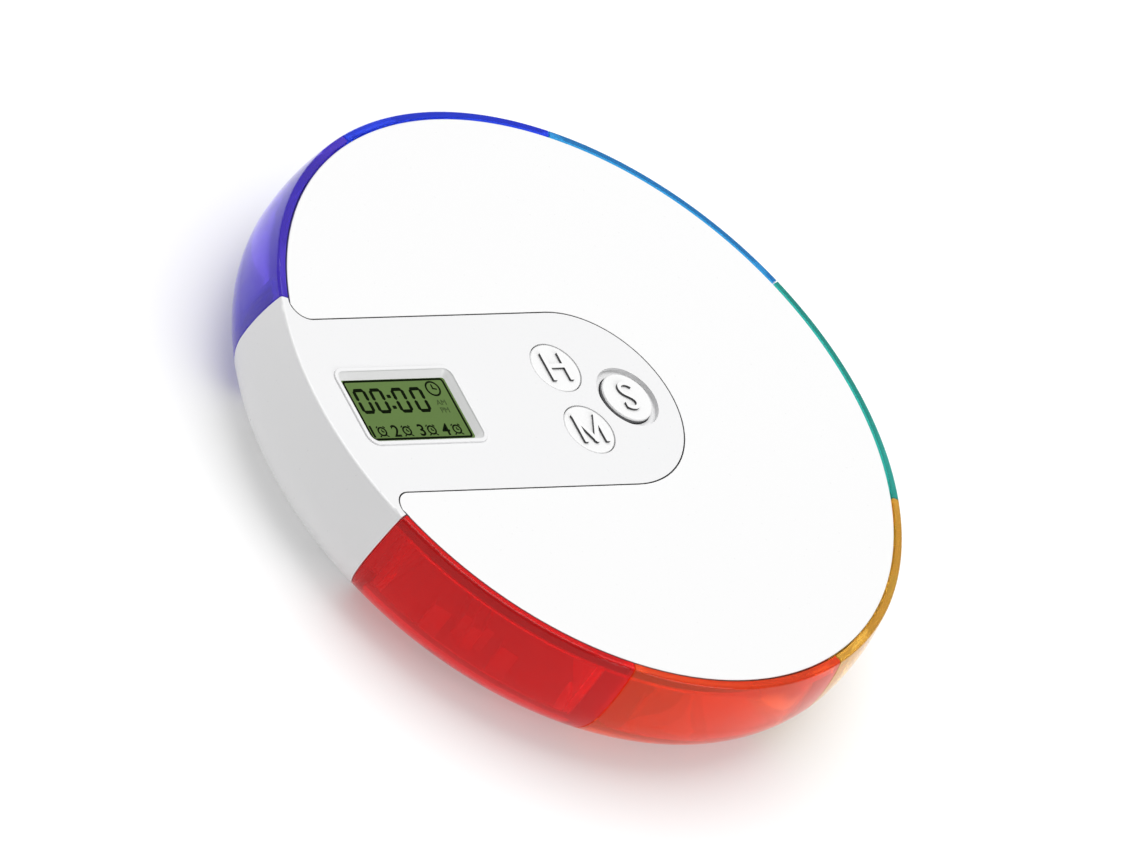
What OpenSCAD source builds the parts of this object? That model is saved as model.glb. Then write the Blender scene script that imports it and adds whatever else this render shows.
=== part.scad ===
// Round seven-tray pill organiser with a reminder clock.
// Seven translucent trays and one white control segment share a ring of eight equal sectors.
// The trays slide out along their mid-lines from under a fixed white cover.
// The clock, its keys and two cells sit in the tongue that runs from the control segment to the centre.
// +X runs along the tongue towards its round end, +Z is up, and the feet stand on z = 0.

/* [Body] */
// Widest diameter of the body, at the bulge of its side wall
body_d = 111.5; // [108:0.5:136]
// Height of the body above its underside, without the feet
body_h = 20.2; // [20:0.1:26]
// Height of the widest point above the underside
bulge_h = 12.8; // [11.5:0.1:14]
// Radius of the upper arc of the side wall
side_arc_r = 30.3; // [26:0.1:40]
// Radius of the lower arc that turns in under the body
belly_arc_r = 11.2; // [9.5:0.1:11.4]
// Rounding of the top outer edge
top_edge_r = 0.5; // [0.2:0.1:1]
// Gap between neighbouring parts that show
seam = 0.25; // [0.2:0.05:0.4]

/* [Cover] */
// Width of the coloured rim that shows round the cover
rim_w = 1.2; // [1:0.1:2]
// Thickness of the cover plate
cover_t = 1.9; // [1.6:0.1:2.4]
// Thickness of the cover along its outer edge
cover_edge_t = 2.6; // [2.4:0.1:3.2]
// Width of that thicker edge
cover_edge_w = 1.8; // [1.2:0.1:3]
// Rounding of the cover's upper edge
cover_edge_r = 0.3; // [0.1:0.1:0.6]
// Thickness of the lap that the control panel holds down
lap_t = 0.9; // [0.6:0.1:1.1]
// Width of that lap under the control panel
lap_w = 0.9; // [0.6:0.1:1.2]
// Distance of the cover's posts from the centre
post_circle_r = 20.6; // [20.4:0.1:22]

/* [Trays] */
// Wall thickness of a tray
tray_wall = 1.6; // [1.2:0.1:2]
// Floor thickness of a tray
tray_floor_t = 1.5; // [1.2:0.1:2]
// Height of the tray's inner floor above the underside
tray_floor_h = 6.9; // [6.4:0.1:9]
// Thinnest part of the curved outer wall
tray_front_t = 2.1; // [1.6:0.1:3]
// Distance of the tray's inner wall from the centre
tray_inner = 21.8; // [21.6:0.1:26]
// Corner radius of the tray's pocket at the outer wall
pocket_corner_r = 4; // [2:0.5:6]
// Corner radius of the tray's pocket at the inner wall
pocket_back_r = 2.5; // [1.5:0.5:3.5]
// Thickness of the skirt that turns in under the tray
skirt_t = 2; // [1.4:0.1:2.2]
// Width of the finger notch in the skirt
notch_w = 14; // [10:0.5:18]
// Depth of the finger notch, outwards from the skirt's inner edge
notch_depth = 3.8; // [2:0.1:4.5]
// Thickness of the keel that guides a tray
keel_t = 1.8; // [1.2:0.1:2.4]
// Thickness of the stop teeth under a tray
tooth_t = 1.4; // [1:0.1:2]
// Width of each stop tooth
tooth_w = 3; // [2:0.1:3.4]
// Running gap between a tray and what guides it
glide = 0.3; // [0.2:0.05:0.4]

/* [Control panel] */
// Width of the tongue
tongue_w = 32.4; // [32:0.1:36]
// Thickness of the panel plate
panel_t = 1.9; // [1.6:0.1:2.4]
// Thickness of the panel's side walls
panel_wall = 2; // [1.5:0.1:2.4]
// Radius of the cover's corners where the tongue meets the rim
tongue_corner_r = 2.7; // [1.5:0.1:4]

/* [Display] */
// Width of the display window at the glass
window_w = 21.1; // [18:0.1:21.6]
// Height of the display window at the glass
window_h = 11.4; // [10:0.1:12]
// Corner radius of the window
window_r = 0.5; // [0.4:0.1:1]
// How far the window's walls lean outwards
bevel_w = 0.85; // [0.5:0.05:1]
// Depth of the display glass below the panel
glass_drop = 0.9; // [0.8:0.1:1.1]
// Width of the raised lip round the window
lip_w = 0.75; // [0.6:0.05:1]
// Height of that lip above the panel
lip_h = 0.3; // [0.2:0.05:0.4]
// Rounding of the lip's upper edges
lip_edge_r = 0.2; // [0.1:0.05:0.2]
// Distance from the cover's edge circle to the window
window_inset = 5.9; // [5.7:0.05:6.5]
// Sideways offset of the window from the tongue's centre line
window_offset = -0.3; // [-1:0.1:1]
// Thickness of the display cell
cell_glass_t = 1.8; // [1.4:0.1:2.4]
// How far the display cell reaches past the window
glass_margin = 1.65; // [1.2:0.05:1.8]
// Wall thickness of the display's frame
frame_wall = 1.1; // [0.8:0.1:1.3]
// Height of the rubber contact strips under the display
strip_h = 2.9; // [2.6:0.1:3.2]
// Thickness of the rubber contact strips
strip_t = 1.6; // [1:0.1:2]

/* [Buttons] */
// Diameter of the holes for the hour and minute buttons
key_hole_d = 9.2; // [8:0.1:9.6]
// Gap round the buttons in their holes
key_gap = 0.15; // [0.1:0.05:0.3]
// Diameter of the set button
set_d = 8.8; // [8:0.1:9.4]
// Width of the groove round the set button
set_groove = 1.1; // [0.8:0.1:1.3]
// Depth of that groove
set_groove_h = 0.9; // [0.6:0.1:1]
// Distance of the hour and minute buttons from the tongue's end centre, along the tongue
key_x = -3.9; // [-6:0.1:-3]
// Distance of the hour and minute buttons from the centre line
key_y = 5.85; // [5.7:0.05:6.5]
// Distance of the set button from the tongue's end centre
set_x = 7.3; // [7:0.1:7.6]
// Travel of a button
key_travel = 0.6; // [0.4:0.1:0.6]
// Thickness of a button's flange
flange_t = 0.8; // [0.6:0.1:1]
// How far a button's flange reaches past its hole
flange_w = 0.8; // [0.5:0.1:0.9]
// Rounding of the buttons' upper edges
key_edge_r = 0.25; // [0.1:0.05:0.4]

/* [Electronics] */
// Thickness of the circuit board
board_t = 1; // [0.8:0.1:1.2]
// Side of a push switch
switch_w = 6; // [5:0.1:6.4]
// Height of a push switch's housing
switch_h = 1.7; // [1.5:0.1:1.8]
// Diameter of a switch plunger
plunger_d = 3.2; // [2.6:0.1:3.6]
// Diameter of the buzzer
buzzer_d = 9; // [8:0.1:9.2]
// Height of the buzzer
buzzer_h = 4; // [3:0.1:4.5]

/* [Cells and door] */
// Diameter of a cell
cell_d = 10.5; // [10.3:0.1:10.6]
// Length of a cell with its nub
cell_l = 44.5; // [43.5:0.1:44.5]
// Length of the cell bay
bay_l = 48.4; // [47:0.1:49]
// Wall thickness of the cell holder
holder_wall = 1.4; // [1:0.1:1.4]
// Thickness of the cell holder's roof
holder_roof_t = 0.7; // [0.6:0.1:1]
// Thickness of the spring and plate contacts
contact_t = 0.4; // [0.3:0.1:0.6]
// Width of the door's lower face
door_w = 20.9; // [20:0.1:21.2]
// Width of each of the door's sliding tongues
door_tongue_w = 0.65; // [0.5:0.05:0.8]
// Thickness of the door's sliding tongues
door_tongue_t = 0.8; // [0.6:0.1:0.9]

/* [Base and feet] */
// Thickness of the base plate
base_t = 1.8; // [1.8:0.1:2.2]
// How far the base plate's edge lies inside the bulge
base_inset = 10.25; // [10:0.05:11]
// Thickness of the wall round the electronics
housing_wall = 1.3; // [1:0.1:1.6]
// Thickness of the tray rails
rail_t = 1.4; // [1:0.1:2]
// Diameter of a foot
foot_d = 9; // [7:0.5:10]
// How far the feet stand out
foot_h = 0.8; // [0.6:0.1:1.2]
// Depth of the seats for the feet
foot_seat = 0.6; // [0.4:0.1:0.9]
// Distance of the feet from the centre
foot_circle_r = 36; // [34:0.5:38]

/* [Screws] */
// Diameter of the screw shanks
screw_d = 1.9; // [1.6:0.1:2]
// Diameter of the screw heads
screw_head_d = 3.8; // [3.2:0.1:3.8]
// Height of the screw heads
screw_head_h = 1.1; // [0.8:0.1:1.2]
// Length of the case and cover screws
case_screw_l = 14; // [12:0.5:15]
// Length of the board screws
board_screw_l = 3.6; // [3:0.1:4]

/* [Hidden] */
$fn = 120;

// Sectors
sectors = 8;
sector_a = 360 / sectors;
half_a = sector_a / 2;

// Heights
under_z = foot_h;
top_z = under_z + body_h;
plate_z = top_z - panel_t;
cover_z = top_z - cover_t;
cover_edge_z = top_z - cover_edge_t;
base_z = under_z + base_t;
// How far walls and posts reach into the plate that carries them
root = 0.5;
root_z = base_z - root;
floor_z = under_z + tray_floor_h;
floor_under_z = floor_z - tray_floor_t;
tray_top_z = cover_edge_z - glide;

// Side profile: two arcs that meet smoothly, the lower one running out into the flat underside
bulge_r = body_d / 2;
side_c = [bulge_r - side_arc_r, under_z + bulge_h];
belly_run = sqrt(pow(side_arc_r - belly_arc_r, 2) - pow(bulge_h - belly_arc_r, 2));
belly_c = [side_c[0] + belly_run, under_z + belly_arc_r];
top_r = side_c[0] + sqrt(pow(side_arc_r, 2) - pow(body_h - bulge_h, 2));
far = body_d;

// Cover and rim
rim_in_r = top_r - rim_w;
cover_r = rim_in_r - seam;
base_r = bulge_r - base_inset;
skirt_r = base_r + glide;

// Tongue
tongue_r = tongue_w / 2;
cover_cut_r = tongue_r + seam;
lap_r = tongue_r - lap_w;
step_gap = 0.05;
// How far a corner's circle reaches past the cover's edge, so that the two cross
corner_ease = 0.02;
corner_c = [-sqrt(pow(cover_r + corner_ease - tongue_corner_r, 2) - pow(cover_cut_r + tongue_corner_r, 2)),
    cover_cut_r + tongue_corner_r];

// Wall of the housing, under the seam between cover and panel
housing_reach = 0.55;
housing_ease = 0.5;
housing_out = cover_cut_r + housing_reach;
housing_in = housing_out - housing_wall;
housing_end_x = -sqrt(pow(base_r, 2) - pow(housing_out, 2)) + housing_ease;
lap_run = 2.2;
lap_end_x = housing_end_x - lap_run;
// Inner ends of the control panel's cheeks, in its own sector
cheek_gap = 0.6;
cheek_x = cheek_gap - housing_end_x;

// Trays
housing_clear = 0.5;
cut_k = (housing_out + housing_clear) * sqrt(2);
pocket_rise = tray_top_z - side_c[1];
pocket_r = side_c[0] + sqrt(pow(side_arc_r, 2) - pow(pocket_rise, 2)) - tray_front_t;
tooth_near = 4.4;
tooth_offset = 0.2;
tooth_x = tray_inner + tooth_offset;
tooth_drop = 3;
stop_inset = 2.3;
stop_x = base_r - stop_inset;
stop_t = 1.3;
stop_gap = 0.3;
tray_travel = stop_x - tooth_x - tooth_t - stop_gap;
rail_near = keel_t / 2 + glide;
rail_gap = 0.2;
rail_top_z = floor_under_z - rail_gap;
notch_r = 3;
notch_h = 3.9;
notch_top_z = under_z + notch_h;

// Display
window_x = -cover_r + window_inset + window_w / 2;
window_c = [window_x, window_offset];
glass_w = window_w + 2 * glass_margin;
glass_h = window_h + 2 * glass_margin;
fit = 0.1;
glass_z = top_z - glass_drop;
board_top_z = glass_z - cell_glass_t - strip_h;
board_z = board_top_z - board_t;

// Buttons: centre, cap radius and hole radius of each
key_r = key_hole_d / 2 - key_gap;
HOUR = [[key_x, key_y], key_r, key_hole_d / 2];
MINUTE = [[key_x, -key_y], key_r, key_hole_d / 2];
SET = [[set_x, 0], set_d / 2, set_d / 2 + key_gap];
BUTTONS = [HOUR, MINUTE, SET];
flange_z = plate_z - glide - flange_t;
pip_h = 0.4;
plunger_top_z = flange_z - pip_h;
plunger_l = 1.3;
well_gap = 0.3;
well_floor = 0.2;

// Cells and their bay
cell_gap = 0.1;
cell_y = (cell_d + cell_gap) / 2;
cell_lift = 0.15;
cell_z = base_z + cell_lift + cell_d / 2;
bay_gap = 0.5;
bay_inset = 0.5;
bay_w = 2 * cell_d + cell_gap + bay_gap;
bay_x0 = -base_r + bay_inset;
bay_x1 = bay_x0 + bay_l;
cell_headroom = 0.25;
roof_z = base_z + cell_lift + cell_d + cell_headroom;
holder_top_z = roof_z + holder_roof_t;
nub_d = 3.8;
nub_h = 1;
cell_start = 0.5;
cell_x0 = bay_x0 + cell_start;
terminal_w = 7;
terminal_h = 8;
leaf_w = 4;
tail_w = 2;
tail_gap = 0.2;
belly_step = 1.8;

// Door
door_gap = 0.15;
ledge_t = 0.8;
door_drop = 0.1;
door_top_z = base_z - door_drop;
door_run = 0.6;
door_x1 = bay_x1 + door_run;
// The door's outer end follows the body where the belly arc has turned this share of its radius outwards
door_end_share = 0.455;
door_end_r = belly_c[0] + belly_arc_r * door_end_share;
grooves = 5;
groove_pitch = 2;
groove_w = 0.9;
groove_l = 12;
groove_h = 0.3;
groove_inset = 4;
door_slot_w = door_w + 2 * door_gap;
tongue_slot_w = door_slot_w + 2 * door_tongue_w + fit;

// Screws
screw_gap = 0.05;
boss_r = 2.3;
post_r = 1.9;
panel_boss_r = 1.7;
head_seat_h = 1.3;
joint_h = 9.2;
head_seat_z = under_z + head_seat_h;
joint_z = under_z + joint_h;
screw_inset = 7.5;
screw_lead = 0.3;
outer_screw = [screw_inset - base_r, 13.9];
inner_screw = [set_x + screw_lead, 10.2];
OUTER_SCREWS = [for (y = [1, -1]) [outer_screw[0], y * outer_screw[1]]];
INNER_SCREWS = [for (y = [1, -1]) [inner_screw[0], y * inner_screw[1]]];
CASE_SCREWS = concat(OUTER_SCREWS, INNER_SCREWS);
COVER_SCREWS = [for (a = [-5, -1, 1, 5]) post_circle_r * [cos(a * half_a), sin(a * half_a)]];
board_screw_y = 12.4;
BOARD_SCREWS = [for (x = [-17, 2.5], y = [1, -1]) [x, y * board_screw_y]];
board_boss_r = 2;
board_head_d = 3.4;
board_head_h = 1;

// Feet
foot_turns = [45, 135, 225, 315];

// Buzzer
buzzer_gap = 0.4;
buzzer_x = bay_x1 + holder_wall + buzzer_d / 2 + buzzer_gap;
buzzer_port_d = 2;
buzzer_port_h = 1;
sound_hole_d = 1.3;
sound_holes = 6;
sound_circle_r = 2.6;

// Board and the loose parts on it
board_side_gap = 1.3;
board_boss_gap = 0.3;
board_nose_gap = 0.5;
board_step = 1;
board_wide_x1 = 4.8;
board_nose_run = 3.2;
dome_r = 6;
dome_h = 1.1;
dome_x = -17;
crystal_d = 2;
crystal_l = 6;
crystal_at = [-12, -10.5];
head_gap = 0.3;
head_sink = 0.8;

// Part of a disc between two directions seen from its centre
module disc_part(c, r, a, b) {
    intersection() {
        translate(c) circle(r = r);
        polygon([c, c + 2 * r * a, c + 2 * r * (a + b), c + 2 * r * b]);
    }
}

// Half section of the whole body, or of what lies a wall's thickness inside it
module body_section(inset = 0) {
    along = (belly_c - side_c) / norm(belly_c - side_c);
    rise = body_h - bulge_h;
    r = side_arc_r - inset;
    up = [sqrt(r * r - rise * rise), rise] / r;
    low = under_z + inset;
    polygon([[0, low], [belly_c[0], low], belly_c, side_c, side_c + r * up, [0, top_z]]);
    disc_part(side_c, r, along, up);
    disc_part(belly_c, belly_arc_r - inset, [0, -1], along);
}

// The same outline with its top edge rounded
module outer_section() {
    z = top_z - top_edge_r;
    c = [side_c[0] + sqrt(pow(side_arc_r - top_edge_r, 2) - pow(z - side_c[1], 2)), z];
    out = (c - side_c) / norm(c - side_c);
    size = 3 * top_edge_r;
    difference() {
        body_section();
        difference() {
            polygon([c, c + size * out, c + size * (out + [0, 1]), c + size * [0, 1]]);
            translate(c) circle(r = top_edge_r);
        }
    }
}

// Solid of a half section, turned through one sector about the +X direction
module sector_turn(margin = 2) {
    rotate([0, 0, -half_a - margin]) rotate_extrude(angle = sector_a + 2 * margin) children();
}

// Extruded outline between two heights
module slab(z0, z1) {
    translate([0, 0, z0]) linear_extrude(height = z1 - z0) children();
}

// A wedge of one sector, each side set in by a distance
module sector_outline(inset) {
    x = inset / sin(half_a);
    y = (far - x) * tan(half_a);
    polygon([[x, 0], [far, -y], [far, y]]);
}

// U-shaped outline of the tongue with its round end at the centre
module tongue_outline(r, end_x) {
    circle(r = r);
    translate([end_x, -r]) square([-end_x, 2 * r]);
}

// Rounded rectangle about the origin
module rounded_rect(w, h, r) {
    square([w - 2 * r, h], center = true);
    square([w, h - 2 * r], center = true);
    for (x = [-1, 1], y = [-1, 1]) {
        translate([x * (w / 2 - r), y * (h / 2 - r)]) circle(r = r);
    }
}

// Rounding of one corner of an outline: point of touch, centre, point of touch
function round_corner(before, v, after, r) =
    let (a = (before - v) / norm(before - v),
         b = (after - v) / norm(after - v),
         half = acos(a * b) / 2,
         run = r / tan(half),
         mid = (a + b) / norm(a + b))
    [v + run * a, v + r / sin(half) * mid, v + run * b];

// Straight corners at the inner end of a tray, from its +Y side to its -Y side.
// A tray beside the tongue also has its corner cut parallel to the tongue.
function back_corners(inset, cut) =
    let (off = (seam / 2 + inset) / cos(half_a),
         x = tray_inner + inset,
         y = x * tan(half_a) - off,
         k = cut_k + inset,
         xm = (k - off) / (1 - tan(half_a)))
    cut ? [[x, y], [x, k - x], [xm, k - xm]] : [[x, y], [x, -y]];

// A point on the tray's side plane, on its +Y side, at a distance along the sector's edge
function side_point(inset, along) =
    along * [cos(half_a), sin(half_a)] + (seam / 2 + inset) * [sin(half_a), -cos(half_a)];

// Outline of a tray, set in by a distance, open past the rim or closed by an arc with round corners
module tray_outline(inset, back_r, cut, arc_r = 0, corner_r = 0) {
    off = seam / 2 + inset + corner_r;
    turn = arc_r > 0 ? half_a - asin(off / (arc_r - corner_r)) : 0;
    c = (arc_r - corner_r) * [cos(turn), sin(turn)];
    touch = arc_r > 0 ? c + corner_r * [-sin(half_a), cos(half_a)] : side_point(inset, far);
    low = [touch[0], -touch[1]];
    v = back_corners(inset, cut);
    n = len(v);
    points = concat([touch], v, [low]);
    turns = [for (i = [1:n]) round_corner(points[i - 1], points[i], points[i + 1], back_r)];
    back = [for (t = turns) each [t[0], t[2]]];
    ends = arc_r > 0 ? [low, [c[0], -c[1]], c] : [low];
    polygon(concat([touch], back, ends));
    for (t = turns) {
        translate(t[1]) circle(r = back_r);
    }
    if (arc_r > 0) {
        for (y = [-1, 1]) {
            translate([c[0], y * c[1]]) circle(r = corner_r);
        }
        intersection() {
            circle(r = arc_r);
            polygon([[c[0], -c[1]], 2 * [c[0], -c[1]], 2 * c, c]);
        }
    }
}

// Finger notch in the skirt
module notch_outline() {
    x0 = skirt_r - notch_depth;
    x1 = skirt_r + notch_depth;
    translate([x0, -notch_w / 2]) square([x1 - x0 - notch_r, notch_w]);
    translate([x0, -notch_w / 2 + notch_r]) square([x1 - x0, notch_w - 2 * notch_r]);
    for (y = [-1, 1]) {
        translate([x1 - notch_r, y * (notch_w / 2 - notch_r)]) circle(r = notch_r);
    }
}

// One tray along +X. A cut tray lies beside the tongue and loses its -Y inner corner.
module tray_form(cut) {
    keel_x = cut ? cut_k + keel_t : tray_inner + tray_wall;
    difference() {
        intersection() {
            sector_turn() outer_section();
            slab(under_z, top_z) tray_outline(0, pocket_back_r + tray_wall, cut);
        }
        slab(floor_z, tray_top_z) tray_outline(tray_wall, pocket_back_r, cut, pocket_r, pocket_corner_r);
        slab(tray_top_z, top_z) circle(r = rim_in_r);
        slab(under_z, floor_under_z) circle(r = skirt_r);
        intersection() {
            sector_turn() body_section(skirt_t);
            slab(under_z, floor_under_z) sector_outline(seam / 2 + tray_wall);
        }
        slab(under_z, notch_top_z) notch_outline();
    }
    slab(base_z + glide, floor_under_z) {
        translate([keel_x, -keel_t / 2]) square([stop_x + stop_t - keel_x, keel_t]);
    }
    for (y = cut ? [1] : [-1, 1]) {
        slab(floor_under_z - tooth_drop + glide, floor_under_z) {
            translate([tooth_x, y * (tooth_near + tooth_w / 2) - tooth_w / 2]) square([tooth_t, tooth_w]);
        }
    }
}

module tray(direction, shade) {
    beside = abs(direction) == 3;
    color(shade) rotate([0, 0, direction * sector_a]) {
        mirror([0, direction > 0 ? 1 : 0, 0]) tray_form(beside);
    }
}

// The guide of one tray on the base plate: a groove between two rails, and two stops
module track(direction) {
    beside = abs(direction) == 3;
    x0 = beside ? cut_k + rail_near + rail_t : tray_inner + tray_wall;
    rotate([0, 0, direction * sector_a]) {
        for (y = [-1, 1]) {
            slab(root_z, rail_top_z) {
                translate([x0, y * (rail_near + rail_t / 2) - rail_t / 2]) square([stop_x - x0, rail_t]);
            }
            slab(root_z, rail_top_z) {
                translate([stop_x, y * (tooth_near + tooth_w / 2) - tooth_w / 2]) square([stop_t, tooth_w]);
            }
        }
    }
}

module screw_holes(places, r, z0, z1) {
    for (p = places) {
        translate([p[0], p[1], z0]) cylinder(r = r, h = z1 - z0);
    }
}

module foot_places() {
    for (a = foot_turns) {
        rotate([0, 0, a]) translate([foot_circle_r, 0, 0]) children();
    }
}

module base_shell() {
    color("white") difference() {
        union() {
            rotate_extrude() intersection() {
                outer_section();
                square([base_r, base_z]);
            }
            for (d = [-3:3]) {
                track(d);
            }
            screw_holes(COVER_SCREWS, boss_r, root_z, joint_z);
            screw_holes(INNER_SCREWS, boss_r, root_z, joint_z);
            screw_holes(OUTER_SCREWS, boss_r, root_z, holder_top_z);
        }
        // Slot for the battery door: narrow below, wide above its ledges
        slab(0, under_z + ledge_t) {
            translate([-far, -door_slot_w / 2]) square([far + door_x1 + door_gap, door_slot_w]);
        }
        slab(under_z + ledge_t, base_z + root) {
            translate([-far, -tongue_slot_w / 2]) square([far + door_x1 + door_gap, tongue_slot_w]);
        }
        foot_places() cylinder(d = foot_d + 2 * fit, h = under_z + foot_seat);
        screw_holes(concat(CASE_SCREWS, COVER_SCREWS), screw_head_d / 2 + fit, 0, head_seat_z);
        screw_holes(concat(CASE_SCREWS, COVER_SCREWS), screw_d / 2 + fit, 0, cover_z);
        // Sound holes under the buzzer
        translate([buzzer_x, 0, 0]) {
            cylinder(d = sound_hole_d, h = base_z + root);
            for (i = [0:sound_holes - 1]) {
                rotate([0, 0, 360 / sound_holes * i]) translate([sound_circle_r, 0, 0]) {
                    cylinder(d = sound_hole_d, h = base_z + root);
                }
            }
        }
    }
}

// Wall round the electronics, clamped between the base plate and the cover and set by the bosses
module housing_ring() {
    color("white") difference() {
        slab(base_z, cover_z) difference() {
            tongue_outline(housing_out, housing_end_x);
            tongue_outline(housing_in, housing_end_x);
        }
        screw_holes(COVER_SCREWS, boss_r + fit, 0, joint_z + fit);
        screw_holes(OUTER_SCREWS, boss_r + fit, 0, holder_top_z + fit);
    }
}

// The tongue's outline run out past the rim, with a rounded corner of a given radius on each side
module spread_tongue_outline(r, corner_r) {
    tongue_outline(r, -far);
    for (y = [-1, 1]) {
        c = [corner_c[0], y * corner_c[1]];
        difference() {
            polygon([[c[0], 0], c, 2 * c, [-far, 0]]);
            translate(c) circle(r = corner_r);
        }
    }
}

// Half section of the cover, with its upper edge rounded and its outer edge thicker
module cover_section() {
    c = [cover_r - cover_edge_r, top_z - cover_edge_r];
    translate([0, cover_z]) square([c[0], cover_t]);
    translate([cover_r - cover_edge_w, cover_edge_z]) square([cover_edge_w, c[1] - cover_edge_z]);
    disc_part(c, cover_edge_r, [1, 0], [0, 1]);
}

module top_cover() {
    color("white") {
        difference() {
            rotate_extrude() cover_section();
            slab(under_z, top_z + root) spread_tongue_outline(cover_cut_r, tongue_corner_r);
        }
        slab(cover_z, cover_z + lap_t) difference() {
            tongue_outline(cover_cut_r + root, lap_end_x);
            tongue_outline(lap_r, lap_end_x);
        }
        difference() {
            screw_holes(COVER_SCREWS, post_r, joint_z + fit, cover_z + root);
            screw_holes(COVER_SCREWS, screw_d / 2 + screw_gap, joint_z, cover_z - root);
        }
    }
}

// Section of the window's wall, from the rounded corner's centre: a lean wall and a raised lip
module window_section() {
    high = top_z + lip_h;
    polygon([[window_r, glass_z], [window_r + bevel_w, high - lip_edge_r], [window_r + bevel_w, high],
        [0, high], [0, glass_z]]);
    translate([window_r + bevel_w, high - lip_edge_r]) difference() {
        square(lip_edge_r);
        translate([lip_edge_r, 0]) circle(r = lip_edge_r);
    }
}

// Section that takes the lip's outer edge away above its rounding
module lip_outer_section() {
    translate([window_r + bevel_w + lip_w - lip_edge_r, top_z + lip_h - lip_edge_r]) difference() {
        square(lip_edge_r);
        circle(r = lip_edge_r);
    }
}

// A section run round the window
module round_window() {
    w = window_w / 2 - window_r;
    h = window_h / 2 - window_r;
    for (side = [0, 1]) {
        rotate([0, 0, 180 * side]) {
            translate([0, h, 0]) rotate([90, 0, 90]) {
                translate([0, 0, -w]) linear_extrude(height = 2 * w) children();
            }
            translate([w, 0, 0]) rotate([90, 0, 0]) {
                translate([0, 0, -h]) linear_extrude(height = 2 * h) children();
            }
            translate([w, h, 0]) rotate_extrude(angle = 90) children();
            translate([-w, h, 0]) rotate([0, 0, 90]) rotate_extrude(angle = 90) children();
        }
    }
}

module control_panel() {
    color("white") {
        difference() {
            union() {
                // Rim segment: its curved side wall and a cheek beside each neighbouring tray
                rotate([0, 0, 180]) difference() {
                    intersection() {
                        sector_turn() outer_section();
                        slab(under_z, top_z) sector_outline(seam / 2);
                    }
                    intersection() {
                        sector_turn() body_section(panel_wall);
                        slab(under_z, plate_z) sector_outline(seam / 2 + panel_wall);
                    }
                    slab(0, base_z + root) circle(r = skirt_r);
                    slab(0, plate_z) translate([-far, -far]) square([far + cheek_x, 2 * far]);
                }
                slab(plate_z, top_z) tongue_outline(tongue_r, -cover_r + rim_w);
                slab(top_z - root, top_z + lip_h) translate(window_c) {
                    reach = bevel_w + lip_w;
                    rounded_rect(window_w + 2 * reach, window_h + 2 * reach, window_r + reach);
                }
                screw_holes(INNER_SCREWS, post_r, joint_z + fit, plate_z + root);
                screw_holes(OUTER_SCREWS, panel_boss_r, holder_top_z + fit, plate_z + root);
                screw_holes(BOARD_SCREWS, board_boss_r, board_top_z, plate_z + root);
            }
            // Room for the cover, and for its lap along the tongue's edge
            slab(tray_top_z, top_z + root) difference() {
                circle(r = rim_in_r);
                spread_tongue_outline(tongue_r, tongue_corner_r + seam);
            }
            slab(plate_z - root, plate_z + lap_t + step_gap) difference() {
                tongue_outline(tongue_r + root, lap_end_x - step_gap);
                tongue_outline(lap_r - step_gap, lap_end_x - step_gap);
            }
            translate([window_c[0], window_c[1], 0]) {
                slab(plate_z, glass_z) square([glass_w + 2 * fit, glass_h + 2 * fit], center = true);
                slab(glass_z - fit, top_z + 2 * lip_h) {
                    square([window_w - 2 * window_r, window_h - 2 * window_r], center = true);
                }
                round_window() window_section();
                round_window() lip_outer_section();
            }
            for (b = BUTTONS) {
                translate([b[0][0], b[0][1], plate_z]) cylinder(r = b[2], h = panel_t);
            }
            translate([set_x, 0, top_z - set_groove_h]) {
                cylinder(r = set_d / 2 + set_groove, h = set_groove_h);
            }
            screw_holes(CASE_SCREWS, screw_d / 2 + screw_gap, joint_z, plate_z);
            screw_holes(BOARD_SCREWS, screw_d / 2 + screw_gap, board_top_z, plate_z);
            // Way out for the battery door
            slab(under_z, base_z + fit) {
                translate([-far, -tongue_slot_w / 2]) square([far, tongue_slot_w]);
            }
        }
    }
}

module button(b) {
    color("white") translate([b[0][0], b[0][1], 0]) rotate_extrude() {
        r = b[1];
        z = top_z - key_edge_r;
        translate([0, flange_z + flange_t]) square([r, z - flange_z - flange_t]);
        translate([0, z]) square([r - key_edge_r, key_edge_r]);
        disc_part([r - key_edge_r, z], key_edge_r, [1, 0], [0, 1]);
        translate([0, flange_z]) square([b[2] + flange_w, flange_t]);
        translate([0, plunger_top_z]) square([plunger_d / 2, flange_z - plunger_top_z]);
    }
}

module plunger(b) {
    color("dimgray") translate([b[0][0], b[0][1], plunger_top_z - plunger_l]) {
        cylinder(d = plunger_d, h = plunger_l);
    }
}

module push_switch(b) {
    color("silver") translate([b[0][0], b[0][1], board_top_z]) difference() {
        translate([-switch_w / 2, -switch_w / 2, 0]) cube([switch_w, switch_w, switch_h]);
        translate([0, 0, well_floor]) cylinder(d = plunger_d + 2 * well_gap, h = switch_h);
    }
}

// Two glass plates, the rear one longer for the contact strips
module display_cell() {
    color("olivedrab") translate([window_c[0], window_c[1], 0]) {
        slab(glass_z - cell_glass_t / 2, glass_z) square([glass_w, glass_h - 2 * strip_t], center = true);
        slab(glass_z - cell_glass_t, glass_z - cell_glass_t / 2) square([glass_w, glass_h], center = true);
    }
}

module display_frame() {
    color("white") translate([window_c[0], window_c[1], 0]) {
        slab(board_top_z, plate_z) difference() {
            square([glass_w + 2 * (fit + frame_wall), glass_h + 2 * (fit + frame_wall)], center = true);
            square([glass_w + 2 * fit, glass_h + 2 * fit], center = true);
        }
    }
}

module contact_strip(side) {
    color("hotpink") translate([window_c[0], window_c[1] + side * (glass_h / 2 - strip_t / 2), board_top_z]) {
        slab(0, strip_h) square([window_w, strip_t], center = true);
    }
}

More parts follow.
